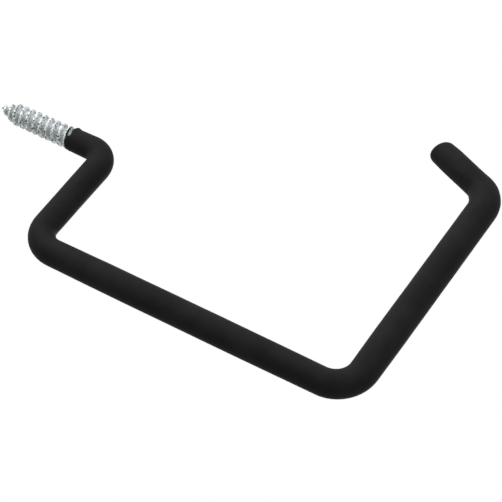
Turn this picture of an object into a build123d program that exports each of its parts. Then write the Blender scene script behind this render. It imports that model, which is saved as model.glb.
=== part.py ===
"""Screw-in storage hook: one bent steel rod with a rolled wood-screw thread, in a dipped vinyl jacket.

The hook is drawn as it hangs on a wall. The wall is the plane X = 0, +X points out of the wall,
+Z points up, and the whole hook lies in the XZ plane. The origin is on the screw's axis, where
the jacket's lip meets the wall. All sizes are in millimetres and degrees.
"""

import os
from math import cos, radians, sin, tan

from build123d import *

# Rod, measured from corner to corner of its centreline
wall_to_drop = 19.6
drop_height = 56.5
arm_length = 152.3
upright_height = 117.2
tip_length = 31.4
tip_turn = 67.4
shank_diameter = 8.7
wall_bend_radius = 8.6
back_bend_radius = 11.3
front_bend_radius = 12.5
top_bend_radius = 11.0

# Screw: a right-handed rolled thread that runs down to a gimlet point
screw_length = 37.1
thread_diameter = 9.5
core_diameter = 7.5
thread_pitch = 3.385
thread_crest_width = 0.55
thread_flank_angle = 30.0
thread_start_angle = 175.8
point_length = 8.7
point_diameter = 0.6
point_bare_length = 1.9
point_thread_share = 0.55
thread_under_jacket = 2.6
shoulder_length = 0.6

# Jacket: dipped with the screw uppermost, so it is thin at the lip and thick along the upright
lip_diameter = 10.4
drop_jacket_diameter = 11.4
arm_jacket_diameter = 11.8
upright_jacket_low_diameter = 12.6
upright_jacket_high_diameter = 13.0
top_bend_jacket_diameter = 13.1
tip_jacket_diameter = 11.7
lip_tilt = 6.0
lip_round = 1.2
end_wall = 3.2
end_round = 2.9

# Centreline corners in the hook's plane, as distance from the wall and height
wall_corner = (wall_to_drop, 0)
back_corner = (wall_to_drop, -drop_height)
front_corner = (wall_to_drop + arm_length, -drop_height)
top_corner = (front_corner[0], upright_height - drop_height)
bend_radii = [wall_bend_radius, back_bend_radius, front_bend_radius, top_bend_radius]

# Thread worked out from the screw's sizes, with its root sunk a little way into the core
core_radius = core_diameter / 2
full_thread_height = (thread_diameter - core_diameter) / 2
thread_root_depth = 0.25
shank_start = thread_under_jacket + shoulder_length
outlines_per_turn = 12


def on_tip(distance):
    """Point on the tip's centreline, at a distance from the top corner."""
    turn = radians(tip_turn)
    return (top_corner[0] - distance * sin(turn), top_corner[1] + distance * cos(turn))


def core_radius_at(x):
    """Radius of the screw's core at a place along its axis: a cone at the point, then even."""
    share = min(max(x + screw_length, 0) / point_length, 1)
    return point_diameter / 2 + share * (core_radius - point_diameter / 2)


def thread_height_at(x):
    """Height of the thread over its core: it grows along the point and fades into the shank."""
    grown = min((x + screw_length) / point_length, 1)
    faded = min(max(thread_under_jacket - x, 0) / (thread_pitch / 2), 1)
    return full_thread_height * (point_thread_share + (1 - point_thread_share) * grown) * faded


def thread_outline(turns):
    """Outline across the thread ridge, in a plane that holds the screw's axis, after so many turns."""
    middle = point_bare_length - screw_length + thread_pitch * turns
    height = thread_height_at(middle)
    half_crest = thread_crest_width / 2
    half_root = half_crest + (height + thread_root_depth) * tan(radians(thread_flank_angle))
    angle = radians(thread_start_angle + 360 * turns)
    around = Vector(0, -sin(angle), cos(angle))
    with BuildSketch(Plane(origin=(0, 0, 0), x_dir=(1, 0, 0), z_dir=around)) as outline:
        Polygon(
            (middle - half_root, core_radius_at(middle - half_root) - thread_root_depth),
            (middle + half_root, core_radius_at(middle + half_root) - thread_root_depth),
            (middle + half_crest, core_radius_at(middle) + height),
            (middle - half_crest, core_radius_at(middle) + height),
            align=None,
        )
    return outline.sketch


# Thread ridge, one loft for each turn round the core
thread_turns = (thread_under_jacket + screw_length - point_bare_length) / thread_pitch
outline_count = round(thread_turns * outlines_per_turn)
ridge_turns = []
for first in range(0, outline_count, outlines_per_turn):
    last = min(first + outlines_per_turn, outline_count)
    with BuildPart() as ridge_turn:
        loft([thread_outline(count / outlines_per_turn) for count in range(first, last + 1)])
    ridge_turns.append(ridge_turn.part)

# Steel rod: bent shank, turned core and rolled thread, all one length of steel
with BuildPart() as steel_rod:
    with BuildLine(Plane.XZ) as rod_line:
        FilletPolyline(
            (shank_start, 0),
            wall_corner,
            back_corner,
            front_corner,
            top_corner,
            on_tip(tip_length),
            radius=bend_radii,
        )
    with BuildSketch(Plane(origin=rod_line.line @ 0, z_dir=rod_line.line % 0)):
        Circle(shank_diameter / 2)
    sweep(path=rod_line.line)
    with BuildSketch(Plane.XZ):
        with BuildLine():
            Polyline(
                (-screw_length, 0),
                (-screw_length, point_diameter / 2),
                (point_length - screw_length, core_radius),
                (thread_under_jacket, core_radius),
                (shank_start, shank_diameter / 2),
                (shank_start, 0),
                close=True,
            )
        make_face()
    revolve(axis=Axis.X)
    add(ridge_turns)
steel_rod.part.label = "steel_rod"

# Jacket diameters, evenly spaced along each straight and each bend in turn
jacket_diameters = [
    (lip_diameter, lip_diameter),
    (lip_diameter, drop_jacket_diameter),
    (drop_jacket_diameter, drop_jacket_diameter),
    (drop_jacket_diameter, arm_jacket_diameter),
    (arm_jacket_diameter, arm_jacket_diameter),
    (arm_jacket_diameter, upright_jacket_low_diameter),
    (upright_jacket_low_diameter, upright_jacket_high_diameter),
    (upright_jacket_high_diameter, top_bend_jacket_diameter, tip_jacket_diameter),
    (tip_jacket_diameter, tip_jacket_diameter),
]

# The lip leans back at the top, and its rounded low edge is what touches the wall
lip_plane = Plane(
    origin=(0, 0, lip_round - lip_diameter / 2),
    z_dir=(cos(radians(lip_tilt)), 0, -sin(radians(lip_tilt))),
)

# Vinyl jacket: one skin over all of the rod but the screw, closed over the tip
with BuildPart() as vinyl_coating:
    with BuildLine(Plane.XZ) as jacket_line:
        FilletPolyline(
            (-lip_diameter / 2, 0),
            wall_corner,
            back_corner,
            front_corner,
            top_corner,
            on_tip(tip_length + end_wall),
            radius=bend_radii,
        )
    stretches = jacket_line.edges().sort_by(jacket_line.wire())
    for stretch, diameters in zip(stretches, jacket_diameters):
        for count, diameter in enumerate(diameters):
            place = count / (len(diameters) - 1)
            with BuildSketch(Plane(origin=stretch @ place, z_dir=stretch % place)):
                Circle(diameter / 2)
        sweep(path=stretch, multisection=True)
    split(bisect_by=lip_plane, keep=Keep.TOP)
    lip_face, end_face = faces().filter_by(GeomType.PLANE).sort_by(Axis.X)
    fillet(lip_face.edges(), lip_round)
    fillet(end_face.edges(), end_round)
    add(steel_rod.part, mode=Mode.SUBTRACT)
vinyl_coating.part.label = "vinyl_coating"

os.makedirs("parts", exist_ok=True)
for piece in (steel_rod.part, vinyl_coating.part):
    export_step(piece, f"parts/{piece.label}.step")
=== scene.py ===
"""Looks for a screw-in storage hook: a zinc-plated wood screw and a dipped black vinyl jacket.

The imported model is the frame. +X points out of the wall along the screw, +Z points up, and the
rod is bent in the XZ plane. Sizes in the classes are in millimetres and degrees.
"""

import logging
from collections.abc import Callable, Iterator
from dataclasses import dataclass
from enum import Enum
from math import atan2, ceil, cos, degrees, pi, radians, sin, tan

import bmesh
import bpy
from mathutils import Matrix, Vector

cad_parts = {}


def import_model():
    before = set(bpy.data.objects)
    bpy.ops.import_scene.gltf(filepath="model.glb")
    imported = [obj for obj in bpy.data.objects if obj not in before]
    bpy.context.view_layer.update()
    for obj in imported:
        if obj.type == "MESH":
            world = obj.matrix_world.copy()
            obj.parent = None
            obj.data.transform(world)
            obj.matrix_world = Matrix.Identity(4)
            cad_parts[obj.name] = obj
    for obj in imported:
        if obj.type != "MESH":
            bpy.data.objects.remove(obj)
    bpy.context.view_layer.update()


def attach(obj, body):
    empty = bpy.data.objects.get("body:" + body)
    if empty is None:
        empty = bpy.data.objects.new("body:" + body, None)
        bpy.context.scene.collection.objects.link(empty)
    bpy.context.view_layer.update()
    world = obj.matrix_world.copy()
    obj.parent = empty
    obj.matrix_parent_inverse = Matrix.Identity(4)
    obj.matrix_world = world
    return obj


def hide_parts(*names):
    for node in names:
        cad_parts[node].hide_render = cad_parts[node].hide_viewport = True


Colour = tuple[float, float, float]

MM = 0.001
MERGE_DISTANCE = 0.002 * MM
ON_AXIS = 1e-6

log = logging.getLogger("storage_hook")


class Way(Enum):
    """How a stretch of the bent rod runs."""

    STRAIGHT = "straight"
    BEND = "bend"


@dataclass(frozen=True)
class Stretch:
    """One straight or one bend of the hook's centreline, in the XZ plane."""

    way: Way
    start: Vector
    heading: Vector
    length: float
    centre: Vector | None = None
    turn: float = 0.0


@dataclass(frozen=True)
class HookLine:
    """Centreline of the bent rod: its corners, its bend radii and where it ends.

    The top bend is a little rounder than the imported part's, as the photograph shows it.
    """

    wall_to_drop: float = 19.6
    drop_height: float = 56.5
    arm_length: float = 152.3
    upright_height: float = 117.2
    tip_turn: float = 67.4
    bend_radii: tuple[float, ...] = (8.6, 11.3, 12.5, 13.2)

    def corners(self, first_x: float, tip_length: float) -> list[Vector]:
        """Corners of the line.

        Args:
            first_x: Where the line starts, on the screw's axis.
            tip_length: Length of the tip, from the top corner.

        Returns:
            The corners in order, from the wall to the tip's end.
        """
        front = self.wall_to_drop + self.arm_length
        top = Vector((front, 0, self.upright_height - self.drop_height))
        turn = radians(self.tip_turn)
        return [
            Vector((first_x, 0, 0)),
            Vector((self.wall_to_drop, 0, 0)),
            Vector((self.wall_to_drop, 0, -self.drop_height)),
            Vector((front, 0, -self.drop_height)),
            top,
            top + tip_length * Vector((-sin(turn), 0, cos(turn))),
        ]

    def stretches(self, first_x: float, tip_length: float) -> Iterator[Stretch]:
        """Straights and bends in order.

        Args:
            first_x: Where the line starts, on the screw's axis.
            tip_length: Length of the tip, from the top corner.

        Yields:
            Each stretch, from the wall to the tip's end.
        """
        corners = self.corners(first_x, tip_length)
        here = corners[0]
        for corner, beyond, radius in zip(corners[1:], corners[2:], self.bend_radii):
            heading = (corner - here).normalized()
            leaving = (beyond - corner).normalized()
            turn = heading.angle(leaving)
            bend_start = corner - heading * radius * tan(turn / 2)
            yield Stretch(Way.STRAIGHT, here, heading, (bend_start - here).length)
            inward = (leaving - heading * heading.dot(leaving)).normalized()
            side = 1 if heading.cross(inward).y > 0 else -1
            yield Stretch(
                Way.BEND,
                bend_start,
                heading,
                radius * turn,
                bend_start + inward * radius,
                side * turn,
            )
            here = corner + leaving * radius * tan(turn / 2)
        heading = (corners[-1] - here).normalized()
        yield Stretch(Way.STRAIGHT, here, heading, (corners[-1] - here).length)


class Bench:
    """Hand moves in edit mode, on whatever is selected."""

    @staticmethod
    def put_down() -> None:
        """Leaves edit mode and deselects everything."""
        if bpy.context.mode != "OBJECT":
            bpy.ops.object.mode_set(mode="OBJECT")
        bpy.ops.object.select_all(action="DESELECT")

    @staticmethod
    def take(piece: bpy.types.Object) -> None:
        """Selects a piece and makes it the active one."""
        piece.select_set(True)
        bpy.context.view_layer.objects.active = piece

    @staticmethod
    def pick_up(piece: bpy.types.Object) -> None:
        """Opens one piece in edit mode, with nothing in it selected."""
        Bench.put_down()
        Bench.take(piece)
        bpy.ops.object.mode_set(mode="EDIT")
        bpy.ops.mesh.select_mode(type="VERT")
        bpy.ops.mesh.select_all(action="DESELECT")

    @staticmethod
    def choose(piece: bpy.types.Object, test: Callable[[Vector], bool]) -> None:
        """Selects the points that pass a test, and only those.

        Args:
            piece: The piece in edit mode.
            test: Says of a point in millimetres whether it is chosen.
        """
        mesh = bmesh.from_edit_mesh(piece.data)
        for vertex in mesh.verts:
            vertex.select_set(test(vertex.co / MM))
        mesh.select_flush(True)
        bmesh.update_edit_mesh(piece.data)

    @staticmethod
    def reshape(piece: bpy.types.Object, rule: Callable[[Vector], Vector]) -> None:
        """Moves each point of the piece in edit mode.

        Args:
            piece: The piece in edit mode.
            rule: Gives a point's new place from its old one, in millimetres.
        """
        mesh = bmesh.from_edit_mesh(piece.data)
        for vertex in mesh.verts:
            vertex.co = rule(vertex.co / MM) * MM
        bmesh.update_edit_mesh(piece.data)

    @staticmethod
    def ring(name: str, centre: Vector, radius: float, sides: int) -> bpy.types.Object:
        """Adds a ring that faces along X and opens it in edit mode, selected.

        Args:
            name: Name of the new piece.
            centre: Middle of the ring.
            radius: Radius of the ring.
            sides: Number of points on the ring.

        Returns:
            The new piece, with its object at the origin.
        """
        Bench.put_down()
        bpy.ops.mesh.primitive_circle_add(
            vertices=sides,
            radius=radius * MM,
            location=centre * MM,
            rotation=(0, pi / 2, 0),
        )
        bpy.ops.object.transform_apply(location=True, rotation=True, scale=True)
        piece = bpy.context.object
        piece.name = name
        piece.data.name = name
        Bench.pick_up(piece)
        bpy.ops.mesh.select_all(action="SELECT")
        return piece

    @staticmethod
    def dot(name: str, place: Vector) -> bpy.types.Object:
        """Adds a single point and opens it in edit mode, selected."""
        piece = Bench.ring(name, place, radius=0.01, sides=3)
        bpy.ops.mesh.merge(type="CENTER")
        return piece

    @staticmethod
    def pull(move: Vector) -> None:
        """Extrudes the selected ring or point by a move."""
        bpy.ops.mesh.extrude_region_move(TRANSFORM_OT_translate={"value": move * MM})

    @staticmethod
    def widen(share: float, centre: Vector) -> None:
        """Scales the selected ring about its centre."""
        bpy.ops.transform.resize(value=(share, share, share), center_override=centre * MM)

    @staticmethod
    def swing(angle: float, centre: Vector, axis: str = "Y") -> None:
        """Turns the selected ring about a centre, such as a bend's."""
        bpy.ops.transform.rotate(
            value=-angle, orient_axis=axis, center_override=centre * MM
        )

    @staticmethod
    def close_over(move: Vector) -> None:
        """Closes the selected ring at a point on its axis, one move further on."""
        Bench.pull(move)
        bpy.ops.mesh.merge(type="CENTER")

    @staticmethod
    def finish(piece: bpy.types.Object) -> None:
        """Merges doubles, turns the faces outwards and shades the piece smooth."""
        Bench.pick_up(piece)
        bpy.ops.mesh.select_all(action="SELECT")
        bpy.ops.mesh.remove_doubles(threshold=MERGE_DISTANCE)
        bpy.ops.mesh.normals_make_consistent(inside=False)
        Bench.put_down()
        Bench.take(piece)
        bpy.ops.object.shade_smooth()
        bpy.ops.object.select_all(action="DESELECT")

    @staticmethod
    def roughen(piece: bpy.types.Object, grain: float, depth: float, name: str) -> None:
        """Makes the surface slightly uneven, as dipping and rolling leave it.

        Args:
            piece: The finished piece.
            grain: Size of the unevenness.
            depth: How far the surface moves, high to low.
            name: Name of the pattern.
        """
        Bench.put_down()
        Bench.take(piece)
        pattern = bpy.data.textures.new(name, "CLOUDS")
        pattern.noise_scale = grain * MM
        pattern.noise_depth = 2
        uneven = piece.modifiers.new(name, "DISPLACE")
        uneven.texture = pattern
        uneven.texture_coords = "LOCAL"
        uneven.direction = "NORMAL"
        uneven.mid_level = 0.5
        uneven.strength = depth * MM
        bpy.ops.object.modifier_apply(modifier=uneven.name)
        bpy.ops.object.select_all(action="DESELECT")


class RingSweep:
    """Pulls a ring along the hook's centreline, and changes its size on the way."""

    step_length = 2.4
    step_turn = 6.0
    fewest_steps = 2

    def __init__(self, radius: float) -> None:
        """Starts from a ring that is already selected.

        Args:
            radius: The ring's radius.
        """
        self.radius = radius

    def along(self, stretch: Stretch, radii: tuple[float, ...]) -> None:
        """Pulls the ring along one stretch.

        Args:
            stretch: The straight or bend to follow.
            radii: Radii at evenly spaced places, from the stretch's start to its end.
        """
        if stretch.way is Way.STRAIGHT:
            steps = max(self.fewest_steps, ceil(stretch.length / self.step_length))
        else:
            steps = ceil(degrees(abs(stretch.turn)) / self.step_turn)
        for count in range(1, steps + 1):
            share = count / steps
            if stretch.way is Way.STRAIGHT:
                middle = stretch.start + stretch.heading * stretch.length * share
                Bench.pull(stretch.heading * stretch.length / steps)
            else:
                around = Matrix.Rotation(stretch.turn * share, 3, "Y")
                middle = stretch.centre + around @ (stretch.start - stretch.centre)
                Bench.pull(Vector())
                Bench.swing(stretch.turn / steps, stretch.centre)
            self.size_to(self.between(radii, share), middle)

    def size_to(self, radius: float, centre: Vector) -> None:
        """Gives the ring a new radius about its centre."""
        Bench.widen(radius / self.radius, centre)
        self.radius = radius

    @staticmethod
    def between(values: tuple[float, ...], share: float) -> float:
        """Value at a share of the way through evenly spaced values."""
        place = share * (len(values) - 1)
        low = min(int(place), len(values) - 2)
        return values[low] + (values[low + 1] - values[low]) * (place - low)


@dataclass(frozen=True)
class Grain:
    """Noise in a finish: features to a metre, number of finer layers, and how strong they are."""

    scale: float
    detail: float
    rough: float


def even(value: float) -> Colour:
    """The same value in all three channels."""
    return (value, value, value)


@dataclass(frozen=True)
class ZincPlate:
    """Bright zinc on rolled steel: uneven and drawn by the rolling dies, with painted shade
    darkening the thread roots.
    """

    name: str = "zinc_plate"
    bright: Colour = (0.88, 0.93, 0.935)
    dull: Colour = (0.47, 0.505, 0.51)
    # Painted shade: a darker colour laid into the thread roots, where the grooves are shaded.
    root: Colour = (0.385, 0.41, 0.415)
    pit: Colour = (0.055, 0.058, 0.06)
    edge_tint: float = 0.12
    blotches: Grain = Grain(1400.0, 5.0, 0.66)
    blotch_ends: tuple[float, float] = (0.44, 0.58)
    blotch_relief: tuple[float, float] = (0.95, 0.24)
    pits: Grain = Grain(1150.0, 3.0, 0.6)
    pit_ends: tuple[float, float] = (0.54, 0.60)
    drawn_marks: Grain = Grain(1.0, 3.0, 0.6)
    drawn_scale: tuple[float, float, float] = (2600, 420, 420)
    drawn_relief: tuple[float, float] = (0.5, 0.05)
    rough_ends: tuple[float, float] = (0.35, 0.65)
    roughness: tuple[float, float] = (0.74, 0.46)
    point_ends: tuple[float, float] = (-37.1, -28.4)
    root_shade_radii: tuple[float, float] = (0.1, 3.7)
    crest_radii: tuple[float, float] = (0.7, 4.25)

    def material(self) -> bpy.types.Material:
        """Builds the finish on Object coordinates, with the screw's axis along X."""
        paint = Paint(self.name)
        place = paint.node("ShaderNodeTexCoord").outputs["Object"]
        blotch = paint.noise(place, self.blotches)
        metal = paint.ramp(blotch, self.blotch_ends, (self.dull, self.bright))
        pitting = paint.noise(place, self.pits)
        clear = paint.ramp(pitting, self.pit_ends, (even(1.0), even(0.0)))
        metal = paint.mix(clear, self.pit, metal)
        # Painted shade in the roots: the colour darkens from crest to root by the thread's height.
        colour = paint.mix(self.height(paint, place), self.root, metal)
        drawn = paint.node("ShaderNodeMapping")
        drawn.inputs["Scale"].default_value = self.drawn_scale
        paint.wire(place, drawn.inputs["Vector"])
        grain = paint.noise(drawn.outputs["Vector"], self.drawn_marks)
        paint.wire(colour, paint.shader.inputs["Base Color"])
        paint.shader.inputs["Metallic"].default_value = 1.0
        paint.shader.inputs["Specular Tint"].default_value = (*even(self.edge_tint), 1)
        dull_rough, bright_rough = self.roughness
        rough = paint.ramp(blotch, self.rough_ends, (even(dull_rough), even(bright_rough)))
        paint.wire(rough, paint.shader.inputs["Roughness"])
        paint.bump(((blotch, *self.blotch_relief), (grain, *self.drawn_relief)))
        return paint.material

    def height(self, paint: "Paint", place: bpy.types.NodeSocket) -> bpy.types.NodeSocket:
        """Height over the thread's root, from 0 to 1, with the root narrowing to the point; it
        masks the painted shade in the roots.
        """
        apart = paint.node("ShaderNodeSeparateXYZ")
        paint.wire(place, apart.inputs["Vector"])
        across = paint.node("ShaderNodeCombineXYZ")
        paint.wire(apart.outputs["Y"], across.inputs["Y"])
        paint.wire(apart.outputs["Z"], across.inputs["Z"])
        radius = paint.node("ShaderNodeVectorMath", operation="LENGTH")
        paint.wire(across.outputs["Vector"], radius.inputs[0])
        height = paint.node("ShaderNodeMapRange")
        paint.wire(radius.outputs["Value"], height.inputs["Value"])
        for target, radii in (("From Min", self.root_shade_radii), ("From Max", self.crest_radii)):
            there = paint.node("ShaderNodeMapRange")
            there.inputs["From Min"].default_value = self.point_ends[0] * MM
            there.inputs["From Max"].default_value = self.point_ends[1] * MM
            there.inputs["To Min"].default_value = radii[0] * MM
            there.inputs["To Max"].default_value = radii[1] * MM
            paint.wire(apart.outputs["X"], there.inputs["Value"])
            paint.wire(there.outputs["Result"], height.inputs[target])
        return height.outputs["Result"]


@dataclass(frozen=True)
class BlackVinyl:
    """Dipped black vinyl: satin, with a soft orange-peel and faint scuffs from handling."""

    name: str = "black_vinyl"
    skin: Colour = (0.0172, 0.0172, 0.0180)
    scuffed: Colour = (0.0285, 0.0285, 0.0296)
    shine: float = 0.03
    scuffs: Grain = Grain(55.0, 6.0, 0.68)
    scuff_ends: tuple[float, float] = (0.42, 0.74)
    rough_ends: tuple[float, float] = (0.3, 0.75)
    roughness: tuple[float, float] = (0.52, 0.68)
    peel: Grain = Grain(420.0, 3.0, 0.5)
    peel_relief: tuple[float, float] = (0.22, 0.12)
    grit: Grain = Grain(3800.0, 2.0, 0.5)
    grit_relief: tuple[float, float] = (0.2, 0.015)

    def material(self) -> bpy.types.Material:
        """Builds the finish on Object coordinates."""
        paint = Paint(self.name)
        place = paint.node("ShaderNodeTexCoord").outputs["Object"]
        scuff = paint.noise(place, self.scuffs)
        peel = paint.noise(place, self.peel)
        grit = paint.noise(place, self.grit)
        colour = paint.ramp(scuff, self.scuff_ends, (self.skin, self.scuffed))
        skin_rough, scuff_rough = self.roughness
        rough = paint.ramp(scuff, self.rough_ends, (even(skin_rough), even(scuff_rough)))
        paint.wire(colour, paint.shader.inputs["Base Color"])
        paint.wire(rough, paint.shader.inputs["Roughness"])
        paint.shader.inputs["Specular IOR Level"].default_value = self.shine
        paint.bump(((peel, *self.peel_relief), (grit, *self.grit_relief)))
        return paint.material


@dataclass(frozen=True)
class StudioFloor:
    """Plain pale floor."""

    name: str = "studio_floor"
    pale: Colour = (0.93, 0.93, 0.93)
    shade: float = 0.985
    patches: Grain = Grain(0.7, 2.0, 0.5)
    patch_ends: tuple[float, float] = (0.3, 0.7)
    roughness: float = 0.95
    shine: float = 0.1

    def material(self) -> bpy.types.Material:
        """Builds a matt finish with a faint change of tone."""
        paint = Paint(self.name)
        place = paint.node("ShaderNodeTexCoord").outputs["Object"]
        tone = paint.noise(place, self.patches)
        grey = tuple(channel * self.shade for channel in self.pale)
        colour = paint.ramp(tone, self.patch_ends, (grey, self.pale))
        paint.wire(colour, paint.shader.inputs["Base Color"])
        paint.shader.inputs["Roughness"].default_value = self.roughness
        paint.shader.inputs["Specular IOR Level"].default_value = self.shine
        return paint.material


class Paint:
    """A material's node tree, built a node at a time."""

    def __init__(self, name: str) -> None:
        """Starts a material with one Principled shader.

        Args:
            name: The material's name.
        """
        self.material = bpy.data.materials.new(name)
        self.material.use_nodes = True
        self.tree = self.material.node_tree
        self.shader = next(
            node for node in self.tree.nodes if node.type == "BSDF_PRINCIPLED"
        )

    def node(self, kind: str, **options: object) -> bpy.types.Node:
        """Adds a node and sets its options."""
        node = self.tree.nodes.new(kind)
        for option, value in options.items():
            setattr(node, option, value)
        return node

    def wire(self, source: bpy.types.NodeSocket, target: bpy.types.NodeSocket) -> None:
        """Joins an output to an input."""
        self.tree.links.new(source, target)

    def noise(self, place: bpy.types.NodeSocket, grain: Grain) -> bpy.types.NodeSocket:
        """Adds noise over a place.

        Args:
            place: Coordinates, in metres on the object.
            grain: How fine and how strong the noise is.

        Returns:
            The noise's value.
        """
        noise = self.node("ShaderNodeTexNoise")
        noise.inputs["Scale"].default_value = grain.scale
        noise.inputs["Detail"].default_value = grain.detail
        noise.inputs["Roughness"].default_value = grain.rough
        self.wire(place, noise.inputs["Vector"])
        return noise.outputs["Fac"]

    def ramp(
        self,
        share: bpy.types.NodeSocket,
        ends: tuple[float, float],
        colours: tuple[Colour, Colour],
    ) -> bpy.types.NodeSocket:
        """Turns a value into a colour.

        Args:
            share: The value, from 0 to 1.
            ends: Values where the change of colour starts and stops.
            colours: The colours at those two values.

        Returns:
            The colour.
        """
        ramp = self.node("ShaderNodeValToRGB")
        for element, end, colour in zip(ramp.color_ramp.elements, ends, colours):
            element.position = end
            element.color = (*colour, 1)
        self.wire(share, ramp.inputs["Fac"])
        return ramp.outputs["Color"]

    def mix(
        self,
        share: bpy.types.NodeSocket,
        low: Colour,
        high: bpy.types.NodeSocket,
    ) -> bpy.types.NodeSocket:
        """Mixes from a plain colour to a patterned one by a share."""
        mix = self.node("ShaderNodeMix", data_type="RGBA")
        self.wire(share, mix.inputs["Factor"])
        mix.inputs["A"].default_value = (*low, 1)
        self.wire(high, mix.inputs["B"])
        return mix.outputs["Result"]

    def bump(
        self, layers: tuple[tuple[bpy.types.NodeSocket, float, float], ...]
    ) -> None:
        """Stacks bump layers on the shader.

        Args:
            layers: Each layer's height, its strength from 0 to 1, and its depth.
        """
        below = None
        for height, strength, depth in layers:
            bump = self.node("ShaderNodeBump")
            bump.inputs["Strength"].default_value = strength
            bump.inputs["Distance"].default_value = depth * MM
            self.wire(height, bump.inputs["Height"])
            if below:
                self.wire(below.outputs["Normal"], bump.inputs["Normal"])
            below = bump
        self.wire(below.outputs["Normal"], self.shader.inputs["Normal"])


@dataclass
class SteelScrew:
    """Bare screw with its gimlet point, and the bent shank that the jacket hides.

    The crests gain a little height from the point to the lip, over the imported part's.
    """

    line: HookLine
    length: float = 37.1
    core_radius: float = 3.75
    crest_radius: float = 4.75
    pitch: float = 3.385
    start_angle: float = 175.8
    point_length: float = 8.7
    point_radius: float = 0.3
    point_bare: float = 1.9
    point_core_curve: float = 1.25
    point_crest_curve: float = 0.68
    crest_growth: float = 0.3
    under_jacket: float = 2.6
    shank_radius: float = 4.35
    tip_length: float = 31.4
    steps_per_turn: int = 56
    spare_turns: int = 2
    flank: tuple[tuple[float, float], ...] = (
        (1.36, 0.01),
        (1.14, 0.06),
        (0.97, 0.17),
        (0.82, 0.36),
        (0.67, 0.61),
        (0.53, 0.80),
        (0.37, 0.93),
        (0.19, 0.985),
    )
    tip_trim: float = 0.1
    rolling_grain: float = 1.1
    rolling_depth: float = 0.07
    shank_gap: float = 0.05
    shank_sides: int = 24
    end_slack: float = 0.1
    name: str = "rolled_screw"

    def outline(self) -> list[tuple[float, float]]:
        """Outline of one thread, from root to root.

        Returns:
            Points as distance from the crest along the axis and radius.
        """
        half = self.pitch / 2
        rise = self.crest_radius - self.core_radius
        side = ((half, 0.0), *self.flank)
        left = [(-x, self.core_radius + rise * share) for x, share in side]
        right = [(x, radius) for x, radius in reversed([(-x, r) for x, r in left])]
        return [*left, (0.0, self.crest_radius), *right]

    def thread(self) -> bpy.types.Object:
        """Winds the outline into a right-handed thread along the screw."""
        outline = self.outline()
        turns = ceil((self.length + self.under_jacket) / self.pitch) + self.spare_turns
        first = -self.length - self.pitch
        angle = radians(self.start_angle)
        crest = self.point_bare - self.length
        while crest > first:
            crest -= self.pitch
        start = Vector((crest + outline[0][0], 0, outline[0][1]))
        piece = Bench.dot(self.name, start)
        for (x, radius), (next_x, next_radius) in zip(outline, outline[1:]):
            Bench.pull(Vector((next_x - x, 0, next_radius - radius)))
        Bench.put_down()
        Bench.take(piece)
        wind = piece.modifiers.new("wind", "SCREW")
        wind.axis = "X"
        wind.angle = 2 * pi
        wind.screw_offset = self.pitch * MM
        wind.iterations = turns
        wind.steps = self.steps_per_turn
        wind.render_steps = self.steps_per_turn
        wind.use_merge_vertices = True
        wind.merge_threshold = MERGE_DISTANCE
        bpy.ops.object.modifier_apply(modifier=wind.name)
        Bench.pick_up(piece)
        turned = Matrix.Rotation(angle - pi / 2, 3, "X")
        Bench.reshape(piece, lambda point: turned @ point)
        return piece

    def shape_point(self, point: Vector) -> Vector:
        """Draws the thread down to the gimlet point."""
        across = Vector((0, point.y, point.z))
        if across.length < ON_AXIS:
            return point
        from_tip = max(point.x + self.length, 0)
        grown = min(from_tip / self.point_length, 1)
        core_rise = self.core_radius - self.point_radius
        crest_rise = self.crest_radius - self.point_radius
        core = self.point_radius + core_rise * grown**self.point_core_curve
        crest = self.point_radius + crest_rise * grown**self.point_crest_curve
        crest += self.crest_growth * min(from_tip / self.length, 1)
        height = (across.length - self.core_radius) / (self.crest_radius - self.core_radius)
        height *= min(from_tip / self.point_bare, 1)
        radius = core + (crest - core) * height
        return Vector((point.x, 0, 0)) + across.normalized() * radius

    def build(self) -> bpy.types.Object:
        """Builds the screw and its hidden shank as one piece."""
        piece = self.thread()
        Bench.reshape(piece, self.shape_point)
        tip = -self.length + self.tip_trim
        for place, keep_inner in ((tip, False), (self.under_jacket, True)):
            bpy.ops.mesh.select_all(action="SELECT")
            bpy.ops.mesh.bisect(
                plane_co=(place * MM, 0, 0),
                plane_no=(1, 0, 0),
                clear_inner=not keep_inner,
                clear_outer=keep_inner,
                use_fill=True,
            )
        Bench.finish(piece)
        Bench.roughen(piece, self.rolling_grain, self.rolling_depth, "rolling_marks")
        shank = self.shank()
        Bench.put_down()
        shank.select_set(True)
        Bench.take(piece)
        bpy.ops.object.join()
        bpy.ops.object.select_all(action="DESELECT")
        return piece

    def shank(self) -> bpy.types.Object:
        """Bends the shank, which runs inside the jacket from the thread to the tip."""
        start = Vector((self.under_jacket + self.shank_gap, 0, 0))
        shank = Bench.ring("shank", start, self.shank_radius, self.shank_sides)
        sweep = RingSweep(self.shank_radius)
        for stretch in self.line.stretches(start.x, self.tip_length):
            sweep.along(stretch, (self.shank_radius, self.shank_radius))
        reach = self.shank_radius + self.end_slack
        for place in (start, self.line.corners(start.x, self.tip_length)[-1]):
            Bench.choose(shank, lambda point: (point - place).length < reach)
            bpy.ops.mesh.edge_face_add()
        Bench.finish(shank)
        return shank

    def dress(self, piece: bpy.types.Object, material: bpy.types.Material) -> None:
        """Gives the screw its finish and its place in the model."""
        piece.data.materials.clear()
        piece.data.materials.append(material)
        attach(piece, "root")
        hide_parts("steel_rod")


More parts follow.
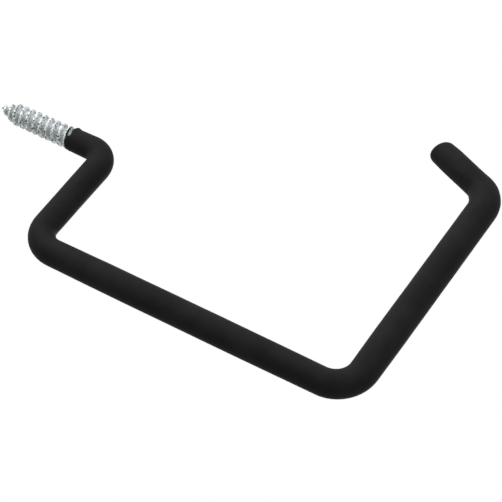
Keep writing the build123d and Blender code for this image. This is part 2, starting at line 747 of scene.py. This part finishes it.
@dataclass
class VinylJacket:
    """Dipped jacket: a rolled lip round the thread, an uneven skin and a blunt crown at the tip."""

    line: HookLine
    inner_radius: float = 3.5
    lip_radius: float = 5.2
    lip_depth: float = 2.6
    lip_end: float = 3.4
    tip_length: float = 34.6
    end_radius: float = 5.84
    crown_gap: float = 0.6
    lip_reach: float = 7.0
    lip_height: float = 6.0
    setback_start: float = 0.4
    setback_fade: float = 5.0
    bead_inner_radius: float = 4.6
    droop_side: tuple[float, float, float] = (-0.350, 0.413, -0.841)
    droop_length: float = 8.0
    droop_reach: float = 12.0
    end_stretch: float = 0.52
    end_narrowing: float = 0.065
    end_sag: float = 0.1
    wave_grain: float = 16.0
    wave_depth: float = 0.12
    sides: int = 64
    name: str = "dipped_jacket"

    def radii(self) -> tuple[tuple[float, ...], ...]:
        """Radii at evenly spaced places, for each straight and each bend in turn."""
        return (
            (5.24, 5.28, 5.34),
            (5.34, 5.65, 5.88),
            (5.9, 5.8, 5.73),
            (5.73, 5.86, 5.86),
            (5.86, 6.04, 6.06, 6.06, 6.0, 5.88),
            (5.88, 6.04, 6.34),
            (6.34, 6.48, 6.5, 6.5, 6.5, 6.54),
            (6.56, 6.73, 6.52, 5.87),
            (5.85, 5.84, 5.84),
        )

    def lip_outline(self) -> tuple[tuple[float, float], ...]:
        """Rolled lip, from inside the jacket round to its skin, as depth and radius."""
        return (
            (1.2, 3.55),
            (0.35, 3.65),
            (0.06, 4.0),
            (0.0, 4.35),
            (0.12, 4.68),
            (0.42, 4.96),
            (0.85, 5.12),
            (1.5, 5.19),
            (2.4, self.lip_radius),
            (self.lip_end, self.lip_radius),
        )

    def crown_outline(self) -> tuple[tuple[float, float], ...]:
        """Blunt end, as distance back from the crown's middle and share of the radius."""
        return (
            (2.30, 0.985),
            (1.70, 0.950),
            (1.15, 0.888),
            (0.72, 0.795),
            (0.42, 0.675),
            (0.22, 0.500),
            (0.09, 0.320),
            (0.02, 0.140),
        )

    def build(self) -> bpy.types.Object:
        """Pulls one ring round the lip, along the hook and over the tip."""
        start = Vector((self.lip_depth, 0, 0))
        piece = Bench.ring(self.name, start, self.inner_radius, self.sides)
        sweep = RingSweep(self.inner_radius)
        here = start
        for depth, radius in self.lip_outline():
            there = Vector((depth, 0, 0))
            Bench.pull(there - here)
            sweep.size_to(radius, there)
            here = there
        crown = self.crown_outline()
        body_length = self.tip_length - crown[0][0] - self.crown_gap
        for stretch, radii in zip(
            self.line.stretches(self.lip_end, body_length), self.radii()
        ):
            sweep.along(stretch, radii)
        end = self.line.corners(self.lip_end, self.tip_length)[-1]
        here = self.line.corners(self.lip_end, body_length)[-1]
        heading = (end - here).normalized()
        for back, share in crown:
            there = end - heading * back
            Bench.pull(there - here)
            sweep.size_to(self.end_radius * share, there)
            here = there
        Bench.close_over(end - here)
        Bench.reshape(piece, self.shape_lip)
        Bench.reshape(piece, lambda point: self.shape_end(point, end, heading))
        Bench.finish(piece)
        Bench.roughen(piece, self.wave_grain, self.wave_depth, "dip_waves")
        return piece

    def shape_lip(self, point: Vector) -> Vector:
        """Sets the lip back over the thread, where the dip drew off it, and leaves a bead."""
        if point.x > self.lip_reach or abs(point.z) > self.lip_height:
            return point
        across = Vector((0, point.y, point.z))
        angle = degrees(atan2(-point.y, point.z)) % 360
        edge = LipEdge()
        setback = edge.setback(angle)
        fade = 1 - min(max((point.x - self.setback_start) / self.setback_fade, 0), 1)
        if across.length > self.bead_inner_radius:
            across = across.normalized() * (across.length + edge.bead(angle, point.x))
        return Vector((point.x + setback * fade, 0, 0)) + across

    def shape_end(self, point: Vector, end: Vector, heading: Vector) -> Vector:
        """Narrows the blunt end and lets it droop, as the dip ran before it set.

        Args:
            point: A point of the jacket.
            end: The middle of the crown.
            heading: The way that the tip points.

        Returns:
            The point's new place.
        """
        back = (end - point).dot(heading)
        if (point - end).length > self.droop_reach or back > self.droop_length:
            return point
        share = 1 - max(back, 0) / self.droop_length
        droop = Vector(self.droop_side)
        middle = end - heading * back
        across = point - middle
        longer = self.end_stretch + across.dot(droop) / self.end_radius
        across = across * (1 - self.end_narrowing * share) + droop * self.end_sag * share
        return middle + across + heading * longer * share

    def dress(self, piece: bpy.types.Object, material: bpy.types.Material) -> None:
        """Gives the jacket its finish and its place in the model."""
        piece.data.materials.clear()
        piece.data.materials.append(material)
        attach(piece, "root")
        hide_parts("vinyl_coating")


@dataclass
class LipStrip:
    """Thin dark strip in the vinyl finish, along the last bare thread, up from the lip.

    Each mark is an angle from the top towards -Y, a place along the screw, how far the strip's
    middle is from the screw's axis, and half the strip's thickness.
    """

    marks: tuple[tuple[float, float, float, float], ...] = (
        (136.0, -0.20, 4.40, 0.48),
        (126.0, -0.36, 4.50, 0.46),
        (116.0, -0.48, 4.60, 0.42),
        (106.0, -0.60, 4.70, 0.40),
        (98.0, -0.70, 4.77, 0.40),
        (90.0, -0.80, 4.84, 0.40),
        (83.0, -0.90, 4.90, 0.38),
        (76.0, -1.00, 4.94, 0.36),
        (70.0, -1.06, 4.98, 0.28),
        (66.0, -1.09, 5.00, 0.08),
    )
    sides: int = 12
    name: str = "lip_strip"

    def build(self) -> bpy.types.Object:
        """Pulls a small ring up along the groove and closes it at both ends.

        Returns:
            The strip, as one closed shell.
        """
        places = [
            Vector((x, -radius * sin(radians(angle)), radius * cos(radians(angle))))
            for angle, x, radius, _ in self.marks
        ]
        piece = Bench.ring(self.name, places[0], self.marks[0][3], self.sides)
        heading = (places[1] - places[0]).normalized()
        tilt = Vector((1, 0, 0)).rotation_difference(heading).to_matrix()
        Bench.reshape(piece, lambda point: places[0] + tilt @ (point - places[0]))
        bpy.ops.mesh.edge_face_add()
        sweep = RingSweep(self.marks[0][3])
        for count, (angle, *_, thickness) in enumerate(self.marks[1:], start=1):
            Bench.pull(places[count] - places[count - 1])
            Bench.swing(radians(angle - self.marks[count - 1][0]), places[count], "X")
            sweep.size_to(thickness, places[count])
        Bench.finish(piece)
        return piece

    def dress(self, piece: bpy.types.Object, material: bpy.types.Material) -> None:
        """Gives the strip its finish and its place in the model."""
        piece.data.materials.clear()
        piece.data.materials.append(material)
        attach(piece, "root")


@dataclass(frozen=True)
class LipEdge:
    """Edge of the lip round the screw, with angles from the top towards -Y."""

    marks: tuple[tuple[float, float], ...] = (
        (0, 0.50),
        (50, 0.50),
        (73, 0.30),
        (82, 0.60),
        (92, 0.90),
        (103, 1.05),
        (113, 0.95),
        (121, 0.05),
        (130, -0.50),
        (147, -0.80),
        (158, -0.65),
        (190, -0.60),
        (215, -0.10),
        (260, 0.45),
        (300, 0.60),
        (360, 0.50),
    )
    bead_middle: float = 45.0
    bead_spread: float = 60.0
    bead_height: float = 0.58
    bead_depth: float = 1.3
    bead_half_width: float = 1.5

    def setback(self, angle: float) -> float:
        """How far the lip stands back from the wall at an angle."""
        for (low, low_value), (high, high_value) in zip(self.marks, self.marks[1:]):
            if low <= angle <= high:
                share = (angle - low) / (high - low)
                share = share * share * (3 - 2 * share)
                return low_value + (high_value - low_value) * share
        return self.marks[0][1]

    def bead(self, angle: float, depth: float) -> float:
        """Height of the bead at an angle and a depth into the jacket."""
        away = abs((angle - self.bead_middle + 180) % 360 - 180)
        around = max(0.0, 1 - away / self.bead_spread)
        along = max(0, 1 - abs(depth - self.bead_depth) / self.bead_half_width)
        return self.bead_height * around * along


@dataclass(frozen=True)
class PhotoCamera:
    """Camera at the photograph's place, below the hook and looking up along it."""

    position: tuple[float, float, float] = (425.43, -675.63, -481.69)
    right: tuple[float, float, float] = (0.84567, 0.03812, 0.53235)
    up: tuple[float, float, float] = (-0.38700, -0.64308, 0.66082)
    lens: float = 154.28
    sensor: float = 36.0
    nearest: float = 0.01

    def build(self) -> bpy.types.Object:
        """Adds the camera and makes it the scene's own."""
        right, up = Vector(self.right), Vector(self.up)
        turned = Matrix((right, up, right.cross(up))).transposed()
        bpy.ops.object.camera_add(
            location=Vector(self.position) * MM, rotation=turned.to_euler()
        )
        camera = bpy.context.object
        camera.name = "photo_camera"
        camera.data.lens = self.lens
        camera.data.sensor_width = self.sensor
        camera.data.clip_start = self.nearest
        camera.data.dof.use_dof = False
        bpy.context.scene.camera = camera
        return camera


@dataclass(frozen=True)
class Lamp:
    """Soft square lamp that faces the hook."""

    name: str
    place: tuple[float, float, float]
    power: float
    width: float


@dataclass(frozen=True)
class Studio:
    """White surroundings, a pale floor and soft lamps."""

    floor_depth: float = 2.5
    floor_width: float = 4.0
    background: float = 1.0
    fill: float = 0.36
    aim: tuple[float, float, float] = (0.07, 0.0, 0.0)
    lamps: tuple[Lamp, ...] = (
        Lamp("key_lamp", (-0.9, -0.98, 0.5), 14.5, 1.3),
        Lamp("side_lamp", (0.3, -0.5, 0.4), 0.9, 0.4),
        Lamp("back_lamp", (0.1, 1.1, 0.6), 3.0, 0.7),
    )

    def build(self) -> None:
        """Builds the floor, the world and the lamps."""
        self.lay_floor()
        self.light_world()
        for lamp in self.lamps:
            self.hang(lamp)

    def lay_floor(self) -> None:
        """Lays the floor well below the hook, which hangs on a wall."""
        Bench.put_down()
        bpy.ops.mesh.primitive_plane_add(
            size=self.floor_width, location=(0, 0, -self.floor_depth)
        )
        bpy.ops.object.transform_apply(location=True, rotation=True, scale=True)
        floor = bpy.context.object
        floor.name = "studio_floor"
        floor.data.materials.append(StudioFloor().material())

    def light_world(self) -> None:
        """Makes the surroundings white to the camera, gloss and glass, and softer as light."""
        world = bpy.data.worlds.new("studio")
        bpy.context.scene.world = world
        world.use_nodes = True
        tree = world.node_tree
        path = tree.nodes.new("ShaderNodeLightPath")
        either = tree.nodes.new("ShaderNodeMath")
        either.operation = "MAXIMUM"
        tree.links.new(path.outputs["Is Camera Ray"], either.inputs[0])
        tree.links.new(path.outputs["Is Glossy Ray"], either.inputs[1])
        seen = tree.nodes.new("ShaderNodeMath")
        seen.operation = "MAXIMUM"
        tree.links.new(either.outputs[0], seen.inputs[0])
        tree.links.new(path.outputs["Is Transmission Ray"], seen.inputs[1])
        strength = tree.nodes.new("ShaderNodeMapRange")
        strength.inputs["To Min"].default_value = self.fill
        strength.inputs["To Max"].default_value = self.background
        tree.links.new(seen.outputs[0], strength.inputs["Value"])
        backdrop = next(node for node in tree.nodes if node.type == "BACKGROUND")
        backdrop.inputs["Color"].default_value = (1, 1, 1, 1)
        tree.links.new(strength.outputs["Result"], backdrop.inputs["Strength"])

    def hang(self, lamp: Lamp) -> None:
        """Hangs one lamp and turns it to the hook."""
        place = Vector(lamp.place)
        facing = (Vector(self.aim) - place).to_track_quat("-Z", "Y")
        bpy.ops.object.light_add(
            type="AREA", location=place, rotation=facing.to_euler()
        )
        light = bpy.context.object
        light.name = lamp.name
        light.data.shape = "SQUARE"
        light.data.size = lamp.width
        light.data.energy = lamp.power


def main() -> None:
    """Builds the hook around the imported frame."""
    logging.basicConfig(level=logging.INFO, format="%(message)s")
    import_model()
    bpy.context.scene.view_settings.view_transform = "Standard"
    PhotoCamera().build()
    Studio().build()
    line = HookLine()

    screw = SteelScrew(line)
    screw_piece = screw.build()
    screw.dress(screw_piece, ZincPlate().material())
    log.info("built %s with %d faces", screw_piece.name, len(screw_piece.data.polygons))

    vinyl = BlackVinyl().material()
    jacket = VinylJacket(line)
    jacket_piece = jacket.build()
    jacket.dress(jacket_piece, vinyl)
    log.info("built %s with %d faces", jacket_piece.name, len(jacket_piece.data.polygons))

    strip = LipStrip()
    strip_piece = strip.build()
    strip.dress(strip_piece, vinyl)
    log.info("built %s with %d faces", strip_piece.name, len(strip_piece.data.polygons))


if __name__ == "__main__":
    main()
